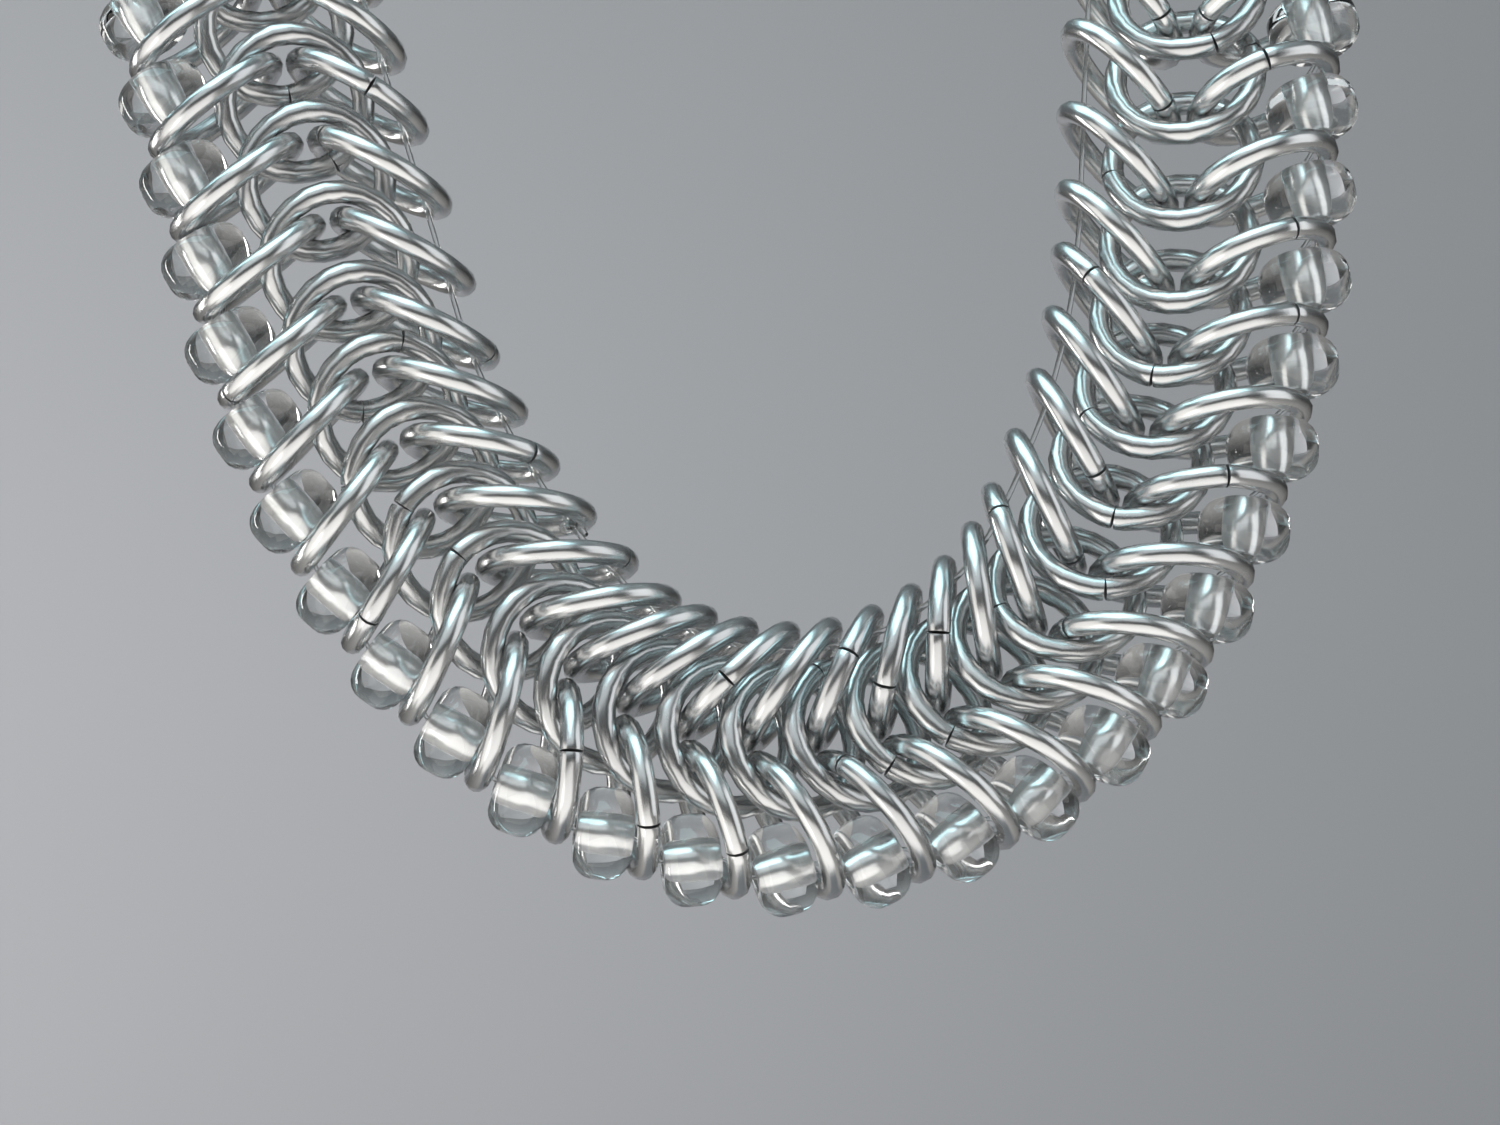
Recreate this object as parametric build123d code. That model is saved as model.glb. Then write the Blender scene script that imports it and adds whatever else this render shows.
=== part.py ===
from build123d import *
import os
from collections import namedtuple
from math import cos, pi, radians, sin

# A necklace woven from round wire rings in three rows. Each outer ring and each inner ring
# passes through two neighbouring centre rings. A bead sits between each two outer rings, on
# a thread that runs inside them. Lengths are in millimetres, angles in degrees.
# +Z is up, the front faces -Y and X = 0 is the middle. The origin is the middle of the nape.

# Rings
wire_d = 1.5
ring_bore = 8.1
centre_count = 76
unit_pitch = 6.06
bead_line_out = 9.45

# Bead line, laid flat, each half from its lowest point up
front_r = 32
front_turn = 52
side_r = 61.5
side_turn = 80.5
clasp_span = 23.4

# How the flat outline stands when it is worn
lean = 4
upright_h = 45
back_r = 100
dish = 14

# Beads and their thread
bead_d = 6.2
bead_len = 3.85
bead_round = 1.5
bead_lean = 0.65
thread_d = 0.3
thread_gap = 0.24
knot_d = 1.2
knot_gap = 0.9

# Clasp
clasp_wire_d = 1.5
clasp_gap = 0.3

# How the rings lie in each stretch of the necklace. tilt is the centre ring's, towards its
# neighbour. along, out and front place the other ring's middle from the centre ring's, as
# shares of the ring's mean radius. slope turns it in the sheet and lean_over rolls it.
Lay = namedtuple("Lay", "along out front slope lean_over")
Row = namedtuple("Row", "tilt outer inner bead_shift")
lay_table = {
    "front": Row(30, Lay(0.03, 1.16, -0.22, 32, 7), Lay(0.02, -0.82, -0.06, 37, 4), -0.05),
    "side": Row(24, Lay(0.18, 1.11, -0.30, 25, 4), Lay(-0.07, -0.95, -0.04, 39, 3), -0.04),
    "strand": Row(17.5, Lay(0.24, 1.08, -0.19, 25, 7), Lay(0.01, -0.94, -0.21, 44, 12), -0.02),
    "neck": Row(27.5, Lay(0.21, 1.13, -0.05, 22, 10), Lay(-0.05, -0.90, -0.02, 41, 4), -0.02),
}
blend_reach = 3.5
blend_steps = 12

# Sizes that follow from those above
ring_r = (ring_bore + wire_d) / 2
half_line = (centre_count - 1) * unit_pitch / 2 + clasp_span / 2
turn_1 = radians(front_turn)
turn_2 = radians(side_turn)
front_len = front_r * turn_1
side_len = side_r * (turn_2 - turn_1)
side_end = (
    front_r * sin(turn_1) + side_r * (sin(turn_2) - sin(turn_1)),
    front_r * (1 - cos(turn_1)) + side_r * (cos(turn_1) - cos(turn_2)),
)
# The straight strand takes the length that the neck's arc leaves over
neck_turn = pi - turn_2
strand_len = (half_line - front_len - side_len - neck_turn * side_end[0] / sin(turn_2)) / (
    1 + neck_turn * cos(turn_2) / sin(turn_2)
)
neck_r = (side_end[0] + strand_len * cos(turn_2)) / sin(turn_2)
side_stop = front_len + side_len
strand_stop = side_stop + strand_len


def flat_point(length):
    """Place and heading of the bead line in the flat outline, length along from the bottom."""
    side = 1 if length >= 0 else -1
    run = abs(length)
    if run <= front_len:
        turn = run / front_r
        x = front_r * sin(turn)
        rise = front_r * (1 - cos(turn))
    elif run <= side_stop:
        turn = turn_1 + (run - front_len) / side_r
        x = side_end[0] - side_r * (sin(turn_2) - sin(turn))
        rise = side_end[1] - side_r * (cos(turn) - cos(turn_2))
    elif run <= strand_stop:
        turn = turn_2
        x = side_end[0] + (run - side_stop) * cos(turn)
        rise = side_end[1] + (run - side_stop) * sin(turn)
    else:
        turn = turn_2 + (run - strand_stop) / neck_r
        x = neck_r * sin(turn)
        rise = side_end[1] + strand_len * sin(turn_2) + neck_r * (cos(turn_2) - cos(turn))
    return side * x, rise, side * turn


def standing(rise):
    """Depth, height and lean of the worn necklace at a rise up the flat outline."""
    start = radians(lean)
    now = start + max(0, rise - upright_h) / back_r
    if rise <= upright_h:
        return rise * sin(start), rise * cos(start), now
    depth = upright_h * sin(start) + back_r * (cos(start) - cos(now))
    height = upright_h * cos(start) + back_r * (sin(now) - sin(start))
    return depth, height, now


def bead_line(length):
    """Point on the bead line with its along, outward and front directions."""
    x, rise, turn = flat_point(length)
    depth, height, now = standing(rise)
    along = Vector(-cos(turn), -sin(turn) * sin(now), -sin(turn) * cos(now))
    level = Vector(sin(turn), -cos(turn) * sin(now), -cos(turn) * cos(now))
    front = along.cross(level)
    tip = radians(dish)
    outward = level * cos(tip) + front * sin(tip)
    return Vector(x, depth, height), along, outward, along.cross(outward)


def nape_point():
    """Middle of the nape, on the line of the centre rings."""
    point, along, outward, front = bead_line(half_line)
    return point - outward * bead_line_out


nape = nape_point()


def stretch_at(length):
    """Name of the stretch of the necklace at this length from the bottom."""
    run = abs(length)
    if run <= front_len:
        return "front"
    if run <= side_stop:
        return "side"
    return "strand" if run <= strand_stop else "neck"


def lay_at(length):
    """Rows of the table, averaged over a few rings to both sides of this place."""
    step = 2 * blend_reach * unit_pitch / blend_steps
    start = length - blend_reach * unit_pitch
    rows = [lay_table[stretch_at(start + step * i)] for i in range(blend_steps + 1)]
    mean = lambda values: sum(values) / len(rows)
    outer = Lay(*(mean(column) for column in zip(*(row.outer for row in rows))))
    inner = Lay(*(mean(column) for column in zip(*(row.inner for row in rows))))
    return Row(mean(r.tilt for r in rows), outer, inner, mean(r.bead_shift for r in rows))


Ring = namedtuple("Ring", "middle across round_to")


def centre_ring(length):
    """Centre ring: its -along side lies behind, its +along side in front."""
    point, along, outward, front = bead_line(length)
    tilt = radians(lay_at(length).tilt)
    middle = point - outward * bead_line_out - nape
    return Ring(middle, outward, along * cos(tilt) + front * sin(tilt))


def side_ring(length, lay, side):
    """Outer ring (side 1) or inner ring (side -1) through two centre rings."""
    point, along, outward, front = bead_line(length)
    start = point - outward * bead_line_out - nape
    shift = along * lay.along + outward * lay.out + front * lay.front
    slope = radians(lay.slope)
    roll = radians(lay.lean_over)
    across = outward * (side * cos(slope)) - along * sin(slope)
    flat = outward * (side * sin(slope)) + along * cos(slope)
    return Ring(start + shift * ring_r, across, front * cos(roll) - flat * sin(roll))


def ring_solid(ring):
    """One closed wire ring."""
    normal = ring.across.cross(ring.round_to)
    return Plane(ring.middle, x_dir=ring.across, z_dir=normal).location * Torus(ring_r, wire_d / 2)


lengths = [((centre_count - 1) / 2 - i) * unit_pitch for i in range(centre_count)]
centres = [centre_ring(a) for a in lengths]
outers = [side_ring(a, lay_at(a).outer, 1) for a in lengths[:-1]]
inners = [side_ring(a, lay_at(a).inner, -1) for a in lengths[:-1]]

# The thread crosses each outer ring just inside its outer end
thread_reach = ring_r - (wire_d + thread_d) / 2 - thread_gap
crossings = [ring.middle + ring.across * thread_reach for ring in outers]


def bead_place(i):
    """Place of the bead between outer rings i and i + 1; its axis leans with the rings."""
    chord = crossings[i + 1] - crossings[i]
    normals = [r.across.cross(r.round_to) for r in outers[i:i + 2]]
    normal = (normals[0] + normals[1]).normalized()
    if normal.dot(chord) < 0:
        normal = -normal
    axis = chord.normalized() * (1 - bead_lean) + normal * bead_lean
    shift = (lay_at(lengths[i]).bead_shift + lay_at(lengths[i + 1]).bead_shift) / 2
    middle = (crossings[i] + crossings[i + 1]) / 2 + chord.normalized() * (shift * ring_r)
    return Plane(middle, x_dir=outers[i].across, z_dir=axis).location


def bead_solid():
    """A round-shouldered cylinder."""
    blank = Cylinder(bead_d / 2, bead_len)
    return fillet(blank.edges().filter_by(GeomType.CIRCLE), bead_round)


def thread_route():
    """Straight runs between the crossings with tangent arcs, and a short tail at each end."""
    first = (crossings[0] - crossings[1]).normalized()
    last = (crossings[-1] - crossings[-2]).normalized()
    tail = wire_d / 2 + knot_gap + knot_d / 2
    points = [crossings[0] + first * tail] + crossings[1:-1] + [crossings[-1] + last * tail]
    return FilletPolyline(*points, radius=arc_radii(points))


def arc_radii(points):
    """Radius of each tangent arc, so that two arcs share the shorter run beside them."""
    radii = []
    for before, here, after in zip(points, points[1:], points[2:]):
        run = min((here - before).length, (after - here).length)
        half = radians((here - before).get_angle(after - here)) / 2
        radii.append(0.45 * run * cos(half) / sin(half))
    return radii


def bead_string_solid():
    """All the beads with their thread, and a knot at each end."""
    route = thread_route()
    thread = sweep(Plane(route @ 0, z_dir=route % 0) * Circle(thread_d / 2), path=route)
    bead = bead_solid()
    beads = [bead_place(i) * bead for i in range(len(crossings) - 1)]
    knots = [Location(route @ end) * Sphere(knot_d / 2) for end in (0, 1)]
    return thread.fuse(*beads, *knots)


def clasp_solid():
    """Oval link round the two end arcs of the centre row, in the plane across those arcs."""
    start = centres[0].middle - centres[0].round_to * ring_r
    stop = centres[-1].middle + centres[-1].round_to * ring_r
    across = (centres[0].across + centres[-1].across).normalized()
    reach = stop - start
    end_r = (wire_d + clasp_wire_d) / 2 + clasp_gap
    plane = Plane((start + stop) / 2, x_dir=reach, z_dir=across - reach.normalized() * (
        across.dot(reach.normalized())))
    route = (plane * SlotCenterToCenter(reach.length, 2 * end_r)).wire()
    return sweep(Plane(route @ 0, z_dir=route % 0) * Circle(clasp_wire_d / 2), path=route)


os.makedirs("parts", exist_ok=True)
nodes = {
    "centre_rings": Compound([ring_solid(ring) for ring in centres]),
    "outer_rings": Compound([ring_solid(ring) for ring in outers]),
    "inner_rings": Compound([ring_solid(ring) for ring in inners]),
    "bead_string": bead_string_solid(),
    "clasp": clasp_solid(),
}
for name, shape in nodes.items():
    export_step(shape, f"parts/{name}.step")
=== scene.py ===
# %% [markdown]
# # A chainmail necklace with glass beads
#
# The necklace is a band of round aluminium rings in three rows. Each outer and each inner
# ring passes through two centre rings, and a clear glass bead sits between each two outer
# rings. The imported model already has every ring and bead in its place, so this lesson
# reads the places from it and builds each piece again with the detail that metal and
# glass need: saw cuts, drilled holes, silver linings, threads and knots.

# %% Load the model and keep its box
import math
import random
from collections import namedtuple

import bpy
import numpy as np
from mathutils import Matrix, Vector


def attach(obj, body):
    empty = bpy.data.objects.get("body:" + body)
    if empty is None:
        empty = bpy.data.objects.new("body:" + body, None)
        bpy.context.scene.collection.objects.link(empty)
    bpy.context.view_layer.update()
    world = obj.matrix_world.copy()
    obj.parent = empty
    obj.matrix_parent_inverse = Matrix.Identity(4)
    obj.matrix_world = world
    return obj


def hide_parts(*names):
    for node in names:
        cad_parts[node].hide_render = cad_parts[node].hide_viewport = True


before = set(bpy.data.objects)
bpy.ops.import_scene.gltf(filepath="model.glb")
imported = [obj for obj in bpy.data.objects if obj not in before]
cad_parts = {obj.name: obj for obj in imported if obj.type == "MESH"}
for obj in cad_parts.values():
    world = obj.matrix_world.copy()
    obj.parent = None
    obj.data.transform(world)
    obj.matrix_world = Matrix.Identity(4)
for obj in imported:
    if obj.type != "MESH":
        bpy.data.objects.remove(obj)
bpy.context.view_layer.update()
MM = 0.001
print("nodes:", sorted(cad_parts))


# %% [markdown]
# ## Selecting without a mouse
#
# An operator acts on whatever is selected, and the loaded model comes selected. So each
# step first selects nothing, then one piece, and then the corners, edges or faces that
# pass a test. A test on place or shape still holds when a size is changed later.

# %% Selecting in code
def deselect():
    """Leave nothing selected, so that an operator acts on one piece only."""
    if bpy.context.object and bpy.context.object.mode != "OBJECT":
        bpy.ops.object.mode_set(mode="OBJECT")
    bpy.ops.object.select_all(action="DESELECT")


def only(piece):
    """Select one object and make it the active one."""
    deselect()
    piece.select_set(True)
    bpy.context.view_layer.objects.active = piece


def select_where(piece, kind, passes):
    """Select the corners, edges or faces that pass a test, and stay in edit mode."""
    only(piece)
    bpy.ops.object.mode_set(mode="EDIT")
    bpy.ops.mesh.select_mode(type=kind)
    bpy.ops.mesh.select_all(action="DESELECT")
    bpy.ops.object.mode_set(mode="OBJECT")
    mesh = piece.data
    elements = {"VERT": mesh.vertices, "EDGE": mesh.edges, "FACE": mesh.polygons}[kind]
    for element in elements:
        element.select = bool(passes(element))
    bpy.ops.object.mode_set(mode="EDIT")


deselect()
print("selected after loading and clearing:", len(bpy.context.selected_objects))


# %% [markdown]
# ## Camera
#
# The photograph was taken from the front at about the height of the lowest beads, tilted
# up a little and rolled clockwise. A camera could track a target, but then it wouldn't
# roll. So it gets a lens, a place and three angles, in the order of a tripod head: first
# level, then tilt up, then roll about its own line of sight.

# %% Camera at the photograph's viewing angle
camera_place = Vector((-3.6, -285.3, -122.2)) * MM
camera_tilt = math.radians(2.5)
camera_roll = math.radians(-6.85)
lens_mm = 72
sensor_mm = 36

bpy.ops.object.camera_add(location=camera_place)
camera = bpy.context.object
camera.name = "camera"
camera.data.sensor_width = sensor_mm
camera.data.lens = lens_mm
level = Matrix.Rotation(math.pi / 2 + camera_tilt, 4, "X")
camera.rotation_euler = (level @ Matrix.Rotation(camera_roll, 4, "Z")).to_euler()
bpy.context.scene.camera = camera
print("camera", [round(v, 3) for v in camera_place], "lens", camera.data.lens)


# %% [markdown]
# ## Floor and backdrop
#
# Polished metal shows its surroundings more than its own colour, so the stage matters as
# much as the rings. The floor curves up into the back wall in one pale sheet, as paper
# does in a studio, and no corner line shows in the metal or behind the beads. The sheet
# is narrow on purpose: a wide one would light the wires from both sides and flatten them.

# %% A pale sweep: floor, curve and back wall in one sheet
# Sizes of the stage, in metres
floor_z = -1.10
wall_y = 0.75
wall_rise = 0.90
sweep_r = 0.45
sweep_width = 0.70
sweep_steps = 24
curve_y = wall_y - sweep_r

deselect()
bpy.ops.mesh.primitive_plane_add(size=1, location=(0, 0, floor_z))
sweep = bpy.context.object
sweep.name = "sweep"
sweep.scale = (sweep_width, 2 * curve_y, 1)
bpy.ops.object.transform_apply(location=True, scale=True)
floor_corners = [vertex.co.copy() for vertex in sweep.data.vertices]
select_where(sweep, "EDGE", lambda edge: all(floor_corners[i].y > 0 for i in edge.vertices))
bpy.ops.mesh.spin(
    steps=sweep_steps, angle=-math.pi / 2, center=(0, curve_y, floor_z + sweep_r), axis=(1, 0, 0)
)
bpy.ops.mesh.extrude_region_move(TRANSFORM_OT_translate={"value": (0, 0, wall_rise)})
bpy.ops.object.mode_set(mode="OBJECT")
bpy.ops.object.shade_smooth()
print("sweep reaches", [round(v, 2) for v in sweep.dimensions])


# %% [markdown]
# ## Lamps
#
# Seen across a round wire, the reflection runs from what is overhead to what is below.
# In the photograph it runs from a pale blue line on top, over a thin dark one, to a broad
# warm white. So a cool skylight hangs overhead, a soft white lamp stands high in front,
# and a large warm one lies low in front, with a dark gap between them. Two weak lamps
# light the ends of the rings, and one washes the left of the wall. The skylight hangs no
# further back, because each bead is a lens that would show it as a bright crescent. The
# view transform is Standard, which keeps greys as they are mixed.

# %% A soft box
Lamp = namedtuple("Lamp", "name place target size watts colour")


def soft_box(lamp):
    """A rectangular lamp that faces its target."""
    bpy.ops.object.light_add(type="AREA", location=lamp.place)
    box = bpy.context.object
    box.name = lamp.name
    box.data.shape = "RECTANGLE"
    box.data.size, box.data.size_y = lamp.size
    box.data.energy = lamp.watts
    box.data.color = lamp.colour
    aim = Vector(lamp.target) - Vector(lamp.place)
    box.rotation_euler = aim.to_track_quat("-Z", "Y").to_euler()


print("a lamp is given by its", ", ".join(Lamp._fields))


# %% Six soft boxes
sky_blue = (0.58, 0.93, 1.0)
cool_white = (0.93, 0.98, 1.0)
pale_blue = (0.96, 0.98, 1.0)
warm_white = (1.0, 0.975, 0.95)
cream = (1.0, 0.97, 0.93)
paper_white = (1.0, 0.98, 0.96)
loop_middle = (0, -0.05, -0.08)
left_of_wall = (-0.16, wall_y, -0.22)

for lamp in (
    Lamp("skylight", (-0.12, -0.12, 0.46), loop_middle, (0.80, 0.50), 3.0, sky_blue),
    Lamp("high_front", (-0.14, -0.70, 0.42), loop_middle, (1.10, 0.62), 1.3, cool_white),
    Lamp("low_front", (-0.10, -0.42, -0.50), loop_middle, (0.90, 0.80), 2.2, warm_white),
    Lamp("left_wall", (-0.46, -0.25, -0.18), loop_middle, (0.40, 0.60), 0.9, cream),
    Lamp("right_wall", (0.50, -0.28, 0.0), loop_middle, (0.40, 0.60), 0.8, pale_blue),
    Lamp("wall_wash", (-0.55, 0.15, -0.10), left_of_wall, (0.3, 0.3), 3.2, paper_white),
):
    soft_box(lamp)
bpy.context.scene.view_settings.view_transform = "Standard"


# %% [markdown]
# ## The room
#
# Where no lamp stands, the metal shows the room. A photograph of a real room could light
# it too, but a ramp by height is enough: pale below, so that the undersides of the wires
# stay light, nearly black at eye level, which draws the dark line along each wire, and a
# cool grey overhead.

# %% The room: pale below, dark at eye level, cool above
def ramp(tree, value, *stops):
    """A colour ramp through (position, colour) stops."""
    node = tree.nodes.new("ShaderNodeValToRGB")
    elements = node.color_ramp.elements
    while len(elements) < len(stops):
        elements.new(0.5)
    for element, (position, colour) in zip(elements, stops):
        element.position = position
        element.color = (*colour, 1)
    tree.links.new(value, node.inputs[0])
    return node.outputs["Color"]


pale_ground = (0.50, 0.492, 0.475)
dark_level = (0.04, 0.04, 0.04)
grey_wall = (0.11, 0.12, 0.125)
cool_ceiling = (0.25, 0.29, 0.305)

room = bpy.data.worlds.new("room")
room.use_nodes = True
bpy.context.scene.world = room
tree = room.node_tree
split = tree.nodes.new("ShaderNodeSeparateXYZ")
tree.links.new(tree.nodes.new("ShaderNodeTexCoord").outputs["Generated"], split.inputs[0])
height = tree.nodes.new("ShaderNodeMapRange")
height.inputs["From Min"].default_value = -1
tree.links.new(split.outputs["Z"], height.inputs["Value"])
room_tone = ramp(
    tree, height.outputs["Result"],
    (0, pale_ground), (0.50, dark_level), (0.70, grey_wall), (1, cool_ceiling),
)
tree.links.new(room_tone, tree.nodes["Background"].inputs["Color"])
print("room:", len(tree.nodes), "nodes")


# %% [markdown]
# ## The paper
#
# A finish is a chain of nodes: a place on the surface, a pattern there, and a ramp or a
# range that turns the pattern into colour or roughness. The paper is a neutral grey with
# a slight mottle, because a wall of one flat grey looks drawn.

# %% What every finish starts with
def set_inputs(node, values):
    """Set inputs of a node by name, with _ for a space."""
    for name, value in values.items():
        node.inputs[name.replace("_", " ")].default_value = value


def new_finish(name, **values):
    """A node material with its node tree and its shader, some shader inputs set."""
    material = bpy.data.materials.new(name)
    material.use_nodes = True
    shader = material.node_tree.nodes["Principled BSDF"]
    set_inputs(shader, values)
    return material, material.node_tree, shader


def object_place(tree):
    """The place on the piece, as a vector."""
    return tree.nodes.new("ShaderNodeTexCoord").outputs["Object"]


def noise(tree, place, scale, detail=2):
    """A cloudy pattern from 0 to 1."""
    grain = tree.nodes.new("ShaderNodeTexNoise")
    set_inputs(grain, {"Scale": scale, "Detail": detail})
    tree.links.new(place, grain.inputs["Vector"])
    return grain.outputs["Fac"]


print("finishes of the packed model:", [material.name for material in bpy.data.materials])


# %% Backdrop paper
shaded_grey = (0.392, 0.382, 0.40)
paper_grey = (0.42, 0.41, 0.428)

paper, tree, shader = new_finish("backdrop_paper", Roughness=0.9)
mottle = noise(tree, object_place(tree), scale=3)
paper_tint = ramp(tree, mottle, (0, shaded_grey), (1, paper_grey))
tree.links.new(paper_tint, shader.inputs["Base Color"])
sweep.data.materials.append(paper)
print("paper on", sweep.name)


# %% [markdown]
# ## Where every ring lies
#
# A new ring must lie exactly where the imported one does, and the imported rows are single
# meshes. A copy of a row is merged and separated into loose rings. The mean of a ring's
# corners is its middle, and the direction in which they spread least is its axis. That
# is quicker and surer than typing 226 places by hand.

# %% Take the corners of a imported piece
merge_reach = 1e-6


def merged_copy(node_name):
    """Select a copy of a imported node, its loose triangles merged, ready in edit mode."""
    deselect()
    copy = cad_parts[node_name].copy()
    copy.data = copy.data.copy()
    copy.parent = None
    bpy.context.collection.objects.link(copy)
    only(copy)
    bpy.ops.object.mode_set(mode="EDIT")
    bpy.ops.mesh.select_all(action="SELECT")
    bpy.ops.mesh.remove_doubles(threshold=merge_reach)


def corners(piece):
    """The places of a mesh object's vertices as an array."""
    places = np.empty(len(piece.data.vertices) * 3)
    piece.data.vertices.foreach_get("co", places)
    return places.reshape(-1, 3)


def take_corners(pieces):
    """Corners of each piece; the pieces themselves are removed."""
    taken = [corners(piece) for piece in pieces]
    for piece in pieces:
        mesh = piece.data
        bpy.data.objects.remove(piece)
        bpy.data.meshes.remove(mesh)
    return taken


print("corners nearer than", round(merge_reach / MM, 4), "mm are merged")


# %% Middle, axis and order of the rings
def middle_and_axis(points):
    """Mean of the points, and the direction in which they spread least."""
    middle = points.mean(0)
    spread, directions = np.linalg.eigh(np.cov((points - middle).T))
    return middle, directions[:, 0]


def round_the_loop(found):
    """Sort rings by their turn round the loop, from the clasp down the +X side."""
    centre = np.mean([middle for middle, axis in found], axis=0)

    def turn(item):
        from_centre = item[0] - centre
        return math.atan2(from_centre[0], from_centre[2]) % math.tau

    return sorted(found, key=turn)


def facing_on(found):
    """The same rings with every axis pointing on round the loop."""
    middles = [middle for middle, axis in found]
    ahead = [b - a for a, b in zip(middles, middles[1:])] + [middles[-1] - middles[-2]]
    return [(m, axis * np.sign(axis @ step)) for (m, axis), step in zip(found, ahead)]


flat_square = np.array(((1, 1, 0), (-1, 1, 0), (-1, -1, 0), (1, -1, 0)))
print("axis of a square that lies flat:", middle_and_axis(flat_square)[1].tolist())


# %% Measure the rings, row by row
ring_rows = ("centre_rings", "outer_rings", "inner_rings")
rows = {}
for node_name in ring_rows:
    merged_copy(node_name)
    bpy.ops.mesh.separate(type="LOOSE")
    bpy.ops.object.mode_set(mode="OBJECT")
    loose = take_corners(list(bpy.context.selected_objects))
    rows[node_name] = facing_on(round_the_loop([middle_and_axis(points) for points in loose]))
    print(node_name, len(rows[node_name]), "rings")


# %% Which way is outwards at each ring
Lay = namedtuple("Lay", "middle axis out")


def in_plane(vector, axis):
    """The part of a vector that lies in the plane across the axis, at length one."""
    flat = vector - axis * vector.dot(axis)
    return flat / np.linalg.norm(flat)


centre_middles = [middle for middle, axis in rows["centre_rings"]]
between = [(a + b) / 2 for a, b in zip(centre_middles, centre_middles[1:])]
lay_of = {
    node_name: [
        Lay(middle, axis, in_plane(middle - mid, axis))
        for (middle, axis), mid in zip(rows[node_name], between)
    ]
    for node_name in ("outer_rings", "inner_rings")
}
# The last centre ring has no side ring of its own and takes its neighbour's
across = [o.middle - i.middle for o, i in zip(lay_of["outer_rings"], lay_of["inner_rings"])]
lay_of["centre_rings"] = [
    Lay(middle, axis, in_plane(width, axis))
    for (middle, axis), width in zip(rows["centre_rings"], across + across[-1:])
]
first_ring = lay_of["centre_rings"][0].middle / MM
print("first centre ring at", [round(float(v), 2) for v in first_ring], "mm")


# %% [markdown]
# ## One wire ring
#
# Chainmail rings are wound from drawn wire on a rod and sawn apart along the coil, so each
# one has a fine cut, and faint lines along the wire from the drawing die. A torus is
# quicker to add, but it has no cut. So the ring is a hexagon spun round the ring's axis,
# short of a full turn, with a short straight piece extruded at each end. It is repeated
# 226 times, so it is only a coarse cage of a few dozen faces, and a Subdivision Surface
# modifier on each row makes it round. Smoothing draws a cage inwards by a known share, so
# the cage is made larger by that share.

# %% Sizes of the ring
wire_d = 1.6 * MM
ring_r = 4.8 * MM
saw_cut = 0.10 * MM
end_piece = 0.3 * MM
ring_steps = 12
wire_sides = 6
weld_reach = 1e-7


def cage_share(sides):
    """How many times larger a coarse cage is than the round shape that it gives."""
    return 3 / (2 + math.cos(math.tau / sides))


print("wire cage", round(wire_d * cage_share(wire_sides) / MM, 2), "mm for", wire_d / MM, "mm")


# %% Spin the wire
deselect()
bpy.ops.mesh.primitive_circle_add(
    vertices=wire_sides, radius=wire_d / 2 * cage_share(wire_sides), fill_type="NGON",
    location=(ring_r, 0, 0), rotation=(math.pi / 2, 0, 0),
)
ring = bpy.context.object
ring.name = "ring_pattern"
bpy.ops.object.transform_apply(location=True, rotation=True)
bpy.ops.object.mode_set(mode="EDIT")
bpy.ops.mesh.select_all(action="SELECT")
bpy.ops.mesh.spin(
    steps=ring_steps, angle=math.tau - (saw_cut + 2 * end_piece) / ring_r,
    center=(0, 0, 0), axis=(0, 0, 1),
)
bpy.ops.mesh.select_all(action="SELECT")
bpy.ops.mesh.remove_doubles(threshold=weld_reach)
bpy.ops.mesh.normals_make_consistent(inside=False)
bpy.ops.object.mode_set(mode="OBJECT")
bpy.ops.object.shade_smooth()
print("spun", len(ring.data.polygons), "faces")


# %% Extrude the ends and keep their rims sharp
def is_sawn(face):
    """Whether a face is one of the wire's two ends."""
    return len(face.vertices) == wire_sides


sawn_faces = [face for face in ring.data.polygons if is_sawn(face)]
for place, push in [(f.center.copy(), f.normal * end_piece) for f in sawn_faces]:
    select_where(ring, "FACE", lambda face: (face.center - place).length < merge_reach)
    bpy.ops.mesh.extrude_region_move(TRANSFORM_OT_translate={"value": push})
select_where(ring, "FACE", is_sawn)
bpy.ops.mesh.region_to_loop()
bpy.ops.transform.edge_crease(value=1)
bpy.ops.mesh.mark_sharp()
bpy.ops.object.mode_set(mode="OBJECT")
for face in ring.data.polygons:
    face.material_index = int(is_sawn(face))
sawn_middle = sum((f.center for f in ring.data.polygons if is_sawn(f)), Vector())
cut_turn = math.atan2(sawn_middle.y, sawn_middle.x)
print("ring:", len(ring.data.polygons), "faces, cut at", round(math.degrees(cut_turn), 1), "deg")


# %% Widen the cage round the ring, half as much beside the cut
at_cut = 0.05        # corners of the sawn faces lie nearer to the cut than this, in radians,
beside_cut = 0.3     # and those where the end pieces begin lie nearer than this


def turn_from_cut(points):
    """Each point's turn round the ring, from the saw cut."""
    return (np.arctan2(points[:, 1], points[:, 0]) - cut_turn) % math.tau


turns = turn_from_cut(corners(ring))
gap_turn = np.minimum(turns, math.tau - turns)
widen = cage_share(ring_steps)
for low, high, share in (
    (at_cut, beside_cut, (1 + widen) / 2),
    (beside_cut, math.tau, widen),
):
    select_where(ring, "VERT", lambda vertex: low < gap_turn[vertex.index] < high)
    bpy.ops.transform.resize(value=(share, share, 1), center_override=(0, 0, 0))
    bpy.ops.object.mode_set(mode="OBJECT")
print("cage reaches", round(ring.dimensions.x / MM, 2), "mm for a ring of",
      round((2 * ring_r + wire_d) / MM, 2), "mm")


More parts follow.
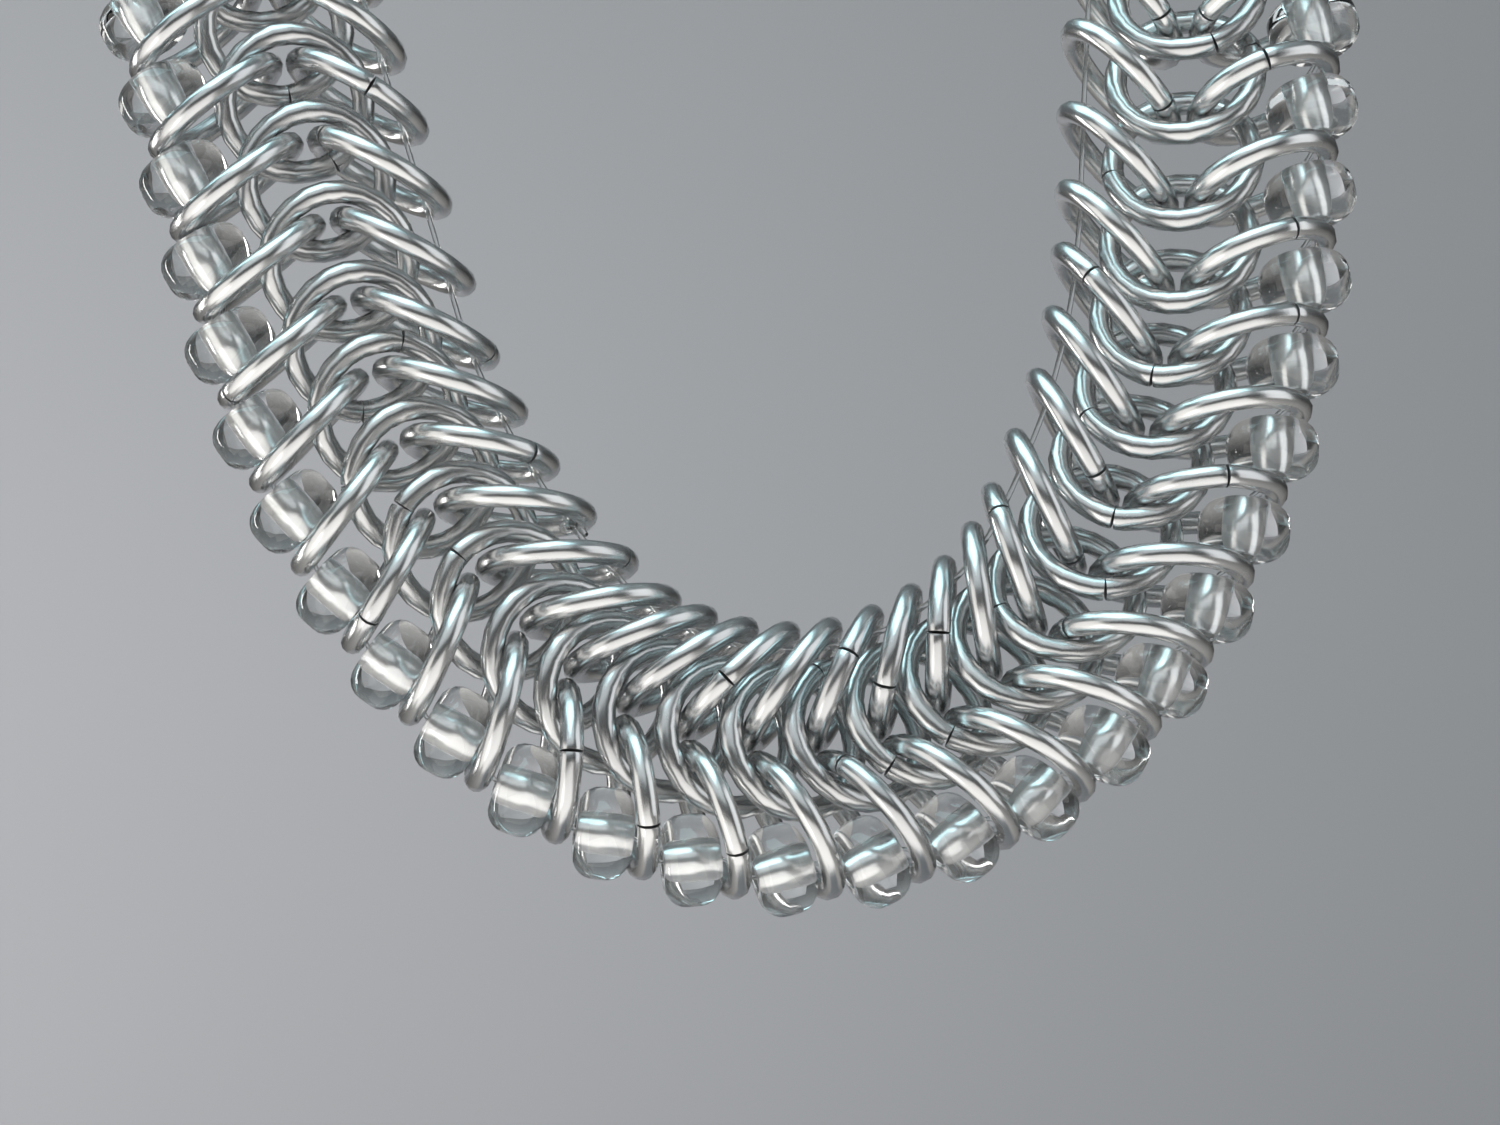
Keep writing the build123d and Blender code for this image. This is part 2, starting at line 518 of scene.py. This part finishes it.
# %% Straightened wire coordinates
def unroll(piece):
    """Store each corner's place on the wire as if the ring were straightened out."""
    points = corners(piece)
    far = np.hypot(points[:, 0], points[:, 1]) - ring_r
    straight = np.stack([turn_from_cut(points) * ring_r, far, points[:, 2]], axis=1)
    mark = piece.data.attributes.new("wire", "FLOAT_VECTOR", "POINT")
    mark.data.foreach_set("vector", straight.ravel())


unroll(ring)
print("wire length", round(math.tau * ring_r / MM, 1), "mm")


# %% [markdown]
# ## The aluminium
#
# Bright aluminium wire has a satin shine, with fine lines along its length and small rubs
# where rings touch. A plain mirror looks like chrome. The finish is a metal shader. Its
# roughness and bump come from noise that is stretched along the straightened wire, so
# that the lines follow each ring round. A value stored on each ring shifts its tone a
# little, because no two rings are worn alike. The sawn ends are duller and darker.

# %% Patterns that follow the wire
def drawn_out(tree, place, stretch):
    """The place squeezed along X, which draws a pattern out along X."""
    mapping = tree.nodes.new("ShaderNodeMapping")
    mapping.inputs["Scale"].default_value = (1 / stretch, 1, 1)
    tree.links.new(place, mapping.inputs["Vector"])
    return mapping.outputs[0]


def span(tree, value, low, high):
    """Map 0..1 to low..high."""
    ranged = tree.nodes.new("ShaderNodeMapRange")
    set_inputs(ranged, {"To_Min": low, "To_Max": high})
    tree.links.new(value, ranged.inputs["Value"])
    return ranged.outputs["Result"]


def add_bump(tree, shader, height, strength, distance):
    """Let a pattern tilt the surface, with no change of shape."""
    bump = tree.nodes.new("ShaderNodeBump")
    set_inputs(bump, {"Strength": strength, "Distance": distance})
    tree.links.new(height, bump.inputs["Height"])
    tree.links.new(bump.outputs[0], shader.inputs["Normal"])


def named_value(tree, name, output):
    """A value that is stored on the corners of a piece."""
    node = tree.nodes.new("ShaderNodeAttribute")
    node.attribute_name = name
    return node.outputs[output]


print("pattern coordinates on the ring:", ring.data.attributes["wire"].name)


# %% Ring metal, satin along the wire
worn_tone, bright_tone = (0.62, 0.625, 0.63), (0.70, 0.705, 0.70)
metal, tree, shader = new_finish("polished_aluminium", Metallic=1)
wire_place = named_value(tree, "wire", "Vector")
die_lines = noise(tree, drawn_out(tree, wire_place, stretch=40), scale=9000, detail=3)
rubs = noise(tree, drawn_out(tree, wire_place, stretch=3), scale=700, detail=4)
ring_tone = ramp(tree, named_value(tree, "tone", "Fac"), (0, worn_tone), (1, bright_tone))
tree.links.new(ring_tone, shader.inputs["Base Color"])
tree.links.new(span(tree, rubs, low=0.19, high=0.32), shader.inputs["Roughness"])
add_bump(tree, shader, die_lines, strength=0.15, distance=0.02 * MM)
print("ring finish:", metal.name)


# %% The sawn ends, dull and darker
groove_tone, ridge_tone = (0.25, 0.25, 0.26), (0.5, 0.5, 0.5)
sawn, tree, shader = new_finish("sawn_aluminium", Metallic=1, Roughness=0.5)
saw_lines = noise(tree, drawn_out(tree, object_place(tree), stretch=20), scale=8000, detail=2)
sawn_tone = ramp(tree, saw_lines, (0.3, groove_tone), (0.7, ridge_tone))
tree.links.new(sawn_tone, shader.inputs["Base Color"])
for finish in (metal, sawn):
    ring.data.materials.append(finish)
print("ring finishes:", [m.name for m in ring.data.materials])


# %% [markdown]
# ## Three rows of rings
#
# When rings are closed by hand, their saw cuts end up at different places. An array along
# a curve would repeat the ring with every cut alike. So the pattern ring is copied to
# every measured place, and each copy is turned about its own axis. Where the photograph
# shows a cut, the turn is read from there. The copies of a row are then joined, because a
# row is one piece of the necklace.

# %% Copy and mark
def place_copy(pattern, middle, axis, out, turn):
    """A copy of the pattern at a place; the turn is about its axis from the out direction."""
    copy = pattern.copy()
    copy.data = pattern.data.copy()
    bpy.context.collection.objects.link(copy)
    z = Vector(axis)
    x = Matrix.Rotation(turn, 3, z) @ Vector(out)
    y = z.cross(x)
    turned = Matrix((x, y, z)).transposed().to_4x4()
    copy.matrix_world = Matrix.Translation(Vector(middle)) @ turned
    return copy


def set_tone(piece, value):
    """Store one number on all corners of a copy."""
    mark = piece.data.attributes.new("tone", "FLOAT", "POINT")
    mark.data.foreach_set("value", [value] * len(piece.data.vertices))


print("rings to place:", sum(len(lays) for lays in lay_of.values()))


# %% Join copies into one piece
def join_pieces(pieces, name, node_name=None):
    """Join pieces into one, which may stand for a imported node."""
    deselect()
    for piece in pieces:
        piece.select_set(True)
    bpy.context.view_layer.objects.active = pieces[0]
    bpy.ops.object.transform_apply(location=True, rotation=True, scale=True)
    bpy.ops.object.join()
    joined = bpy.context.object
    joined.name = name
    joined.data.name = name
    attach(joined, "root")
    if node_name:
        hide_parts(node_name)
    return joined


# %% Place the rings
# Saw cuts read from the photograph: number of the ring, degrees from outwards
seen_cuts = {
    "centre_rings": {25: 59, 27: 160, 29: 88, 31: 80, 32: 59, 35: 59, 37: 156, 43: 76, 44: 59},
    "outer_rings": {28: 66, 29: 59, 33: 152, 37: 140, 39: 58, 40: 66, 41: 96, 44: 56},
    "inner_rings": {35: 252, 36: 232},
}
chance = random.Random(7)
for node_name in ring_rows:
    copies = []
    for i, lay in enumerate(lay_of[node_name]):
        turn = math.radians(seen_cuts[node_name].get(i, chance.uniform(-180, 180)))
        copy = place_copy(ring, lay.middle, lay.axis, lay.out, turn - cut_turn)
        set_tone(copy, chance.random())
        copies.append(copy)
    row = join_pieces(copies, "wire_" + node_name, node_name)
    smooth = row.modifiers.new("round_wire", "SUBSURF")
    smooth.levels = smooth.render_levels = 1
    print(row.name, len(copies), "rings,", len(row.data.polygons), "cage faces")
bpy.data.objects.remove(ring)


# %% [markdown]
# ## Where every bead lies
#
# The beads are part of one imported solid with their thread, so they can't be separated as
# the rings were. Each bead is looked for midway between the ends of two neighbouring
# outer rings. Its flat ends are the largest area with one direction there, and that
# direction is its axis. The corners of its widest part give its middle. Each search
# starts again from the last result, because the first guess is a little off.

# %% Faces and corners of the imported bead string
merged_copy("bead_string")
bpy.ops.object.mode_set(mode="OBJECT")
string = bpy.context.object


def face_values(piece, name, width):
    """One kind of number of every face as an array."""
    values = np.empty(len(piece.data.polygons) * width)
    piece.data.polygons.foreach_get(name, values)
    return values.reshape(-1, width)


face_middles = face_values(string, "center", 3)
face_normals = face_values(string, "normal", 3)
face_areas = face_values(string, "area", 1)[:, 0]
string_corners = take_corners([string])[0]
print("bead string:", len(face_areas), "faces,", len(string_corners), "corners")


# %% Ways to find a bead's axis and middle
face_reach = 2.4 * MM      # a bead's flat ends lie nearer to its middle than this
corner_reach = 3.8 * MM    # and so do all its corners
widest_from = 2.7 * MM     # its widest corners lie further from its axis than this
widest_half = 1.2 * MM     # and at most this far along it
same_way = 0.9998          # two directions count as one from this cosine on


def bead_axis(place, guess):
    """Direction of the flat ends near a place, and how far along it they lie."""
    near = np.linalg.norm(face_middles - place, axis=1) < face_reach
    normals, areas = face_normals[near], face_areas[near]
    alike = np.abs(normals @ normals.T) > same_way
    axis = normals[(alike @ areas).argmax()]
    axis = axis * np.sign(axis @ guess)
    flat = np.abs(normals @ axis) > same_way
    along = (face_middles[near][flat] - place) @ axis
    return axis, (along.min() + along.max()) / 2


def bead_middle(place, axis, along):
    """Middle of the bead from the corners of its widest part."""
    near = string_corners[np.linalg.norm(string_corners - place, axis=1) < corner_reach] - place
    side = near - np.outer(near @ axis, axis)
    off = np.linalg.norm(side, axis=1)
    widest = side[(off > widest_from) & (np.abs(near @ axis - along) < widest_half)]
    return place + axis * along + (widest.min(0) + widest.max(0)) / 2


print("a bead's faces are looked for within", round(face_reach / MM, 2), "mm")


# %% Measure the beads
thread_out = 3.7 * MM    # from an outer ring's middle to the bead thread
rounds = 3               # times that a search starts again from its result

ring_ends = [lay.middle + lay.out * thread_out for lay in lay_of["outer_rings"]]
bead_places = []
for here, there in zip(ring_ends, ring_ends[1:]):
    place = (here + there) / 2
    for again in range(rounds):
        axis, along = bead_axis(place, there - here)
        place = bead_middle(place, axis, along)
    bead_places.append((place, axis))
first_bead = bead_places[0][0] / MM
print(len(bead_places), "beads, the first at", [round(float(v), 2) for v in first_bead], "mm")


# %% [markdown]
# ## A glass bead
#
# The beads are short lengths of clear glass rod with a wide drilled hole, fire-rounded
# shoulders and a silvered hole, which shows as a bright core. The glass is a rectangle
# with rounded corners, spun round the bead's axis. A cylinder with bevelled rims would
# do too, but it has no hole. The lining is a thin tube that touches the glass, so that
# light meets silver with no air between.

# %% Sizes of the bead
bead_r = 3.1 * MM
bead_half = 1.925 * MM
shoulder = 1.5 * MM
hole_r = 0.95 * MM
hole_rim = 0.15 * MM
lining_wall = 0.12 * MM
lining_bite = 0.02 * MM    # how deep the silver goes into the glass
lining_inset = 0.12 * MM   # how far it stays back from the bead's ends
print("bead", round(2 * bead_r / MM, 2), "mm across,", round(2 * bead_half / MM, 2), "mm long")


# %% Solids spun from a flat profile
def round_corners(piece, x, rounding, segments):
    """Round the two corners of a flat profile that lie at this distance from the axis."""
    if rounding:
        select_where(piece, "VERT", lambda vertex: abs(vertex.co.x - x) < weld_reach)
        bpy.ops.mesh.bevel(offset=rounding, segments=segments, affect="VERTICES")
        bpy.ops.object.mode_set(mode="OBJECT")


def spun_profile(name, near, far, half, round_far, round_near, steps):
    """A closed solid of revolution round Z from a rectangle with rounded corners."""
    deselect()
    bpy.ops.mesh.primitive_plane_add(size=1, rotation=(math.pi / 2, 0, 0))
    piece = bpy.context.object
    piece.name = name
    piece.scale = (far - near, 2 * half, 1)
    piece.location = ((near + far) / 2, 0, 0)
    bpy.ops.object.transform_apply(location=True, rotation=True, scale=True)
    round_corners(piece, far, round_far, segments=5)
    round_corners(piece, near, round_near, segments=2)
    bpy.ops.object.mode_set(mode="EDIT")
    bpy.ops.mesh.select_all(action="SELECT")
    bpy.ops.mesh.delete(type="ONLY_FACE")
    bpy.ops.mesh.select_all(action="SELECT")
    bpy.ops.mesh.spin(steps=steps, angle=math.tau, center=(0, 0, 0), axis=(0, 0, 1))
    bpy.ops.mesh.select_all(action="SELECT")
    bpy.ops.mesh.remove_doubles(threshold=weld_reach)
    bpy.ops.mesh.normals_make_consistent(inside=False)
    bpy.ops.object.mode_set(mode="OBJECT")
    bpy.ops.object.shade_smooth()
    return piece


print("shoulders are rounded by", round(shoulder / MM, 2), "mm, the hole's rims by",
      round(hole_rim / MM, 2), "mm")


# %% Spin the glass and the silver
glass_bead = spun_profile(
    "bead_pattern", hole_r, bead_r, bead_half, round_far=shoulder, round_near=hole_rim, steps=32
)
lining = spun_profile(
    "lining_pattern", hole_r - lining_wall, hole_r + lining_bite, bead_half - lining_inset,
    round_far=0, round_near=0, steps=20,
)
print("bead:", len(glass_bead.data.polygons), "faces, lining:", len(lining.data.polygons))


# %% [markdown]
# ## Glass and silver
#
# Real glass beads are never optically flat: they are a little wavy, which bends the
# highlights. So one slow noise drives the roughness, the tint and the bump of the glass.
# The silver is a metal that is partly white, because the coat scatters light as well as
# mirrors it. A pure mirror in there would show as a dark core.

# %% Finishes of the bead
pale_glass, white_glass = (0.96, 0.98, 0.98), (1.0, 1.0, 1.0)
glass, tree, shader = new_finish("clear_glass", Transmission_Weight=1, IOR=1.5)
waves = noise(tree, object_place(tree), scale=350)
glass_tint = ramp(tree, waves, (0.3, pale_glass), (0.7, white_glass))
tree.links.new(glass_tint, shader.inputs["Base Color"])
tree.links.new(span(tree, waves, low=0.0, high=0.06), shader.inputs["Roughness"])
add_bump(tree, shader, waves, strength=0.2, distance=0.1 * MM)
glass_bead.data.materials.append(glass)

dull_silver, white_silver = (0.90, 0.91, 0.92), (0.98, 0.98, 0.97)
silver, tree, shader = new_finish("silver_lining", Metallic=0.65)
patches = noise(tree, object_place(tree), scale=1500)
silver_tint = ramp(tree, patches, (0.3, dull_silver), (0.6, white_silver))
tree.links.new(silver_tint, shader.inputs["Base Color"])
tree.links.new(span(tree, patches, low=0.16, high=0.30), shader.inputs["Roughness"])
lining.data.materials.append(silver)
print("bead finishes:", glass.name, silver.name)


# %% Place the beads
to_viewer = np.array((0.3, -1.0, 0.2))
for pattern, name in ((glass_bead, "glass_beads"), (lining, "bead_linings")):
    copies = [
        place_copy(pattern, place, axis, in_plane(to_viewer, axis), 0)
        for place, axis in bead_places
    ]
    joined = join_pieces(copies, name, "bead_string")
    bpy.data.objects.remove(pattern)
    print(joined.name, len(copies), "copies,", len(joined.data.polygons), "faces")


# %% [markdown]
# ## Threads
#
# The beads hang on a clear nylon thread that runs inside the outer rings. A second one
# runs through the inner ends of the inner rings. Each is a curve with a round bevel,
# made a mesh at the end, because a curve keeps the bends smooth with few points. Nylon is
# a clear plastic that a little haze keeps from looking like glass.

# %% Nylon
hazy_nylon, white_nylon = (0.90, 0.92, 0.93), (0.98, 0.98, 0.97)
nylon, tree, shader = new_finish("clear_nylon", Transmission_Weight=1, IOR=1.53)
haze = noise(tree, object_place(tree), scale=1200)
nylon_tint = ramp(tree, haze, (0.3, hazy_nylon), (0.7, white_nylon))
tree.links.new(nylon_tint, shader.inputs["Base Color"])
tree.links.new(span(tree, haze, low=0.05, high=0.3), shader.inputs["Roughness"])
print("thread finish:", nylon.name)


# %% Draw a thread through a list of points
smooth_steps = 4    # straight steps between two points of a curve
bevel_steps = 2     # the tube has four sides and two more for each of these


def thread_piece(name, points, thick, closed=False):
    """A tube on a smooth curve through the points."""
    curve = bpy.data.curves.new(name, "CURVE")
    curve.dimensions = "3D"
    line = curve.splines.new("BEZIER")
    line.bezier_points.add(len(points) - 1)
    for knot, point in zip(line.bezier_points, points):
        knot.co = Vector(point)
        knot.handle_left_type = knot.handle_right_type = "AUTO"
    line.use_cyclic_u = closed
    curve.resolution_u = smooth_steps
    curve.bevel_depth = thick / 2
    curve.bevel_resolution = bevel_steps
    curve.use_fill_caps = True
    piece = bpy.data.objects.new(name, curve)
    bpy.context.collection.objects.link(piece)
    only(piece)
    bpy.ops.object.convert(target="MESH")
    return bpy.context.object


print("a thread has", 4 + 2 * bevel_steps, "sides")


# %% [markdown]
# ## Knots
#
# A thread ends in a knot, or it would slip out. An overhand knot drawn tight is close to
# the curve with three lobes that mathematicians call a trefoil, so one formula draws them
# all, at any size and turned to the thread. Real knots differ, but at half a millimetre
# the lobes are all that the eye can make out.

# %% Knots
knot_points = 24
knot_height = 1.1      # how far the lobes of the formula below rise and fall
knot_lobe_reach = 3    # and how far they go out


def knot_curve(name, place, along, reach, thick):
    """An overhand knot drawn tight: a three-lobed closed curve round the thread."""
    turned = Vector(along).to_track_quat("Z", "Y").to_matrix()
    size = (reach - thick / 2) / knot_lobe_reach
    points = []
    for i in range(knot_points):
        t = math.tau * i / knot_points
        lobe = Vector((
            math.sin(t) + 2 * math.sin(2 * t),
            math.cos(t) - 2 * math.cos(2 * t),
            -knot_height * math.sin(3 * t),
        ))
        points.append(Vector(place) + turned @ (lobe * size))
    return thread_piece(name, points, thick, closed=True)


def near_mean(points, guess, reach):
    """Mean of the points around a guess, moved to it and taken again."""
    for again in range(rounds):
        guess = points[np.linalg.norm(points - guess, axis=1) < reach].mean(0)
    return guess


print("a knot has", knot_points, "points")


# %% The bead thread
thread_d = 0.3 * MM
end_knot_reach = 0.6 * MM
knot_past_ring = 2.3 * MM    # where a packed end knot is looked for
knot_search = 0.9 * MM

end_knots = []
for end, after in ((0, 1), (-1, -2)):
    away = ring_ends[end] - ring_ends[after]
    guess = ring_ends[end] + away / np.linalg.norm(away) * knot_past_ring
    end_knots.append(near_mean(string_corners, guess, knot_search))
line = [end_knots[0]]
for place, axis in bead_places:
    line += [place - axis * bead_half, place + axis * bead_half]
line.append(end_knots[1])
lead = line[1] - line[0]
pieces = [thread_piece("bead_thread", line, thread_d)]
pieces += [knot_curve("end_knot", place, lead, end_knot_reach, thread_d) for place in end_knots]
bead_thread = join_pieces(pieces, "bead_thread", "bead_string")
bead_thread.data.materials.append(nylon)
print("bead thread:", len(bead_thread.data.polygons), "faces")


# %% Where the inner thread is tied
fine_d = 0.4 * MM
fine_out = 3.45 * MM    # from an inner ring's middle to the thread
tie = 44                # the inner ring beside the knot that the photograph shows
tie_share = 0.15        # how far the knot lies on the way to the ring before it

inner_line = [lay.middle + lay.out * fine_out for lay in lay_of["inner_rings"]]
tie_place = inner_line[tie] + (inner_line[tie - 1] - inner_line[tie]) * tie_share
inwards = Vector(lay_of["inner_rings"][tie].out)
onward = Vector(inner_line[tie + 1] - inner_line[tie]).normalized()
front = inwards.cross(onward).normalized()
if front.y > 0:
    front = -front
print("tie at", [round(float(v), 2) for v in tie_place / MM], "mm")


# %% The thread through the inner rings, its knots and its cut tails
tie_reach = 0.9 * MM
fine_end_reach = 0.7 * MM
tail_lengths = ((1, 1.8 * MM), (-1, 1.3 * MM))    # onward and back
tail_in, tail_on, tail_front = 0.25, 0.8, 0.35    # shares of a tail's run in each direction
tail_rise = 0.25 * MM

pieces = [thread_piece("inner_thread", inner_line, fine_d)]
for side, length in tail_lengths:
    run = (inwards * tail_in + onward * (tail_on * side) + front * tail_front) * length
    start = Vector(tie_place)
    bend = start + run / 2 + inwards * tail_rise
    pieces.append(thread_piece("tail", [start, bend, start + run], fine_d))
pieces.append(knot_curve("tie_knot", tie_place, onward, tie_reach, fine_d))
for place, towards in ((inner_line[0], inner_line[1]), (inner_line[-1], inner_line[-2])):
    pieces.append(knot_curve("end_knot", place, towards - place, fine_end_reach, fine_d))
inner_thread = join_pieces(pieces, "inner_thread")
inner_thread.data.materials.append(nylon)
print("inner thread:", len(inner_thread.data.polygons), "faces")


# %% [markdown]
# ## The clasp
#
# The photograph doesn't show the clasp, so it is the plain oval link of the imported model,
# whose shape is right as it is. It only gets a finish: the same bright metal with a grain
# across it, a little lighter than the rings because it is handled less.

# %% Metal for the clasp
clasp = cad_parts["clasp"]
drawn_tone, clean_tone = (0.84, 0.85, 0.86), (0.93, 0.93, 0.93)
clasp_metal, tree, shader = new_finish("clasp_aluminium", Metallic=1)
grain = noise(tree, drawn_out(tree, object_place(tree), stretch=12), scale=5000, detail=3)
clasp_tone = ramp(tree, grain, (0.3, drawn_tone), (0.7, clean_tone))
tree.links.new(clasp_tone, shader.inputs["Base Color"])
tree.links.new(span(tree, grain, low=0.08, high=0.28), shader.inputs["Roughness"])
clasp.material_slots[0].material = clasp_metal
print("clasp finish:", clasp.material_slots[0].material.name)
